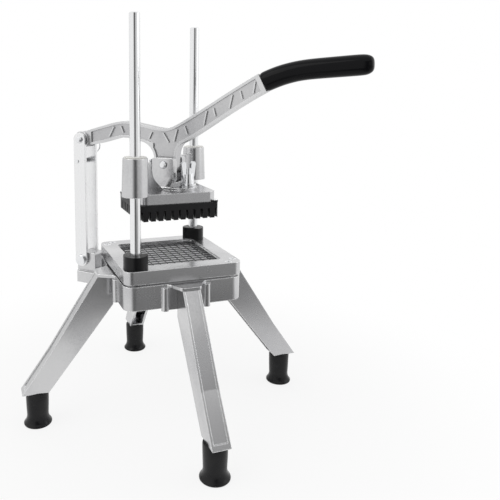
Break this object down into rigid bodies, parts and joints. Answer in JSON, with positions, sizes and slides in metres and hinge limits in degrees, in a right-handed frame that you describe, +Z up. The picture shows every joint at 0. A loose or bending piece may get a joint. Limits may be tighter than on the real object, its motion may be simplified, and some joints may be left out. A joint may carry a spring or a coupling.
{
  "type": "french fry cutter",
  "caption": "Lever-operated french fry cutter: a pusher on two upright rods, driven by a long handle and a swinging link, forces a potato through a blade grid on a four-legged stand.",
  "frame": {"origin": "on the bench, straight below the middle of the blade grid and between the two guide rods", "axes": "+Z up along the guide rods, +X towards the user and the handle's free end, +Y from the left rod to the right rod as the handle's end is faced from behind"},
  "size_m": [0.3925, 0.2842, 0.5035],
  "materials": {
    "cast_aluminium": "satin",
    "polished_rod": "polished",
    "bright_steel": "bright",
    "link_steel": "satin",
    "blade_steel": "ground",
    "black_rubber": "semi-matte",
    "black_plastic": "satin",
    "black_vinyl": "gloss",
    "nylon": "satin"
  },
  "bodies": {
    "base": {"base_casting": "cast_aluminium", "leg_front_left": "cast_aluminium", "leg_front_right": "cast_aluminium", "leg_rear_left": "cast_aluminium", "leg_rear_right": "cast_aluminium", "leg_bolts": "bright_steel", "foot_front_left": "black_rubber", "foot_front_right": "black_rubber", "foot_rear_left": "black_rubber", "foot_rear_right": "black_rubber", "foot_screws": "bright_steel", "guide_rod_left": "polished_rod", "guide_rod_right": "polished_rod", "rod_nuts": "bright_steel", "bumper_left": "black_rubber", "bumper_right": "black_rubber", "blade_frame": "cast_aluminium", "upper_blades": "blade_steel", "lower_blades": "blade_steel", "frame_screws": "bright_steel", "link_bolt": "bright_steel", "link_nut": "bright_steel"},
    "link": {"link_bar_left": "link_steel", "link_bar_right": "link_steel", "link_spacer": "bright_steel", "link_pin": "bright_steel"},
    "link_ring": {"link_ring": "bright_steel"},
    "handle": {"handle_arm": "cast_aluminium", "handle_grip": "black_vinyl"},
    "pusher": {"pusher_head": "cast_aluminium", "guide_bush_left": "nylon", "guide_bush_right": "nylon", "pusher_block": "black_plastic", "block_screws": "bright_steel", "block_studs": "bright_steel", "stud_washers": "bright_steel", "pusher_pin": "bright_steel"},
    "wing_nut_front": {"wing_nut_front": "bright_steel"},
    "wing_nut_rear": {"wing_nut_rear": "bright_steel"},
    "pusher_ring": {"pusher_ring": "bright_steel"}
  },
  "joints": [
    {"name": "pusher_slide", "type": "slide", "parent": "base", "child": "pusher", "axis": [0, 0, 1], "range_m": [-0.07, 0.06]},
    {"name": "handle_swing", "type": "hinge", "parent": "pusher", "child": "handle", "pos_m": [0.0035, 0, 0.3245], "axis": [0, -1, 0], "range_deg": [-28.9, 24.8]},
    {"name": "link_swing", "type": "hinge", "parent": "base", "child": "link", "pos_m": [-0.127, 0, 0.183], "axis": [0, -1, 0], "range_deg": [-5.9, 5.1]},
    {"name": "link_ring_swing", "type": "hinge", "parent": "link", "child": "link_ring", "pos_m": [-0.127, 0.0205, 0.351], "axis": [1, 0, 0], "range_deg": [-10, 90]},
    {"name": "pusher_ring_swing", "type": "hinge", "parent": "pusher", "child": "pusher_ring", "pos_m": [0.0035, 0.024, 0.3245], "axis": [1, 0, 0], "range_deg": [-10, 90]},
    {"name": "front_nut_turn", "type": "hinge", "parent": "pusher", "child": "wing_nut_front", "pos_m": [0.0298, 0, 0.3], "axis": [0, 0, 1], "continuous": true},
    {"name": "rear_nut_turn", "type": "hinge", "parent": "pusher", "child": "wing_nut_rear", "pos_m": [-0.0298, 0, 0.3], "axis": [0, 0, 1], "continuous": true}
  ],
  "couplings": [
    {"joint": "handle_swing", "follows": "pusher_slide", "rad_per_m": 7.18},
    {"joint": "link_swing", "follows": "pusher_slide", "rad_per_m": 1.445}
  ]
}
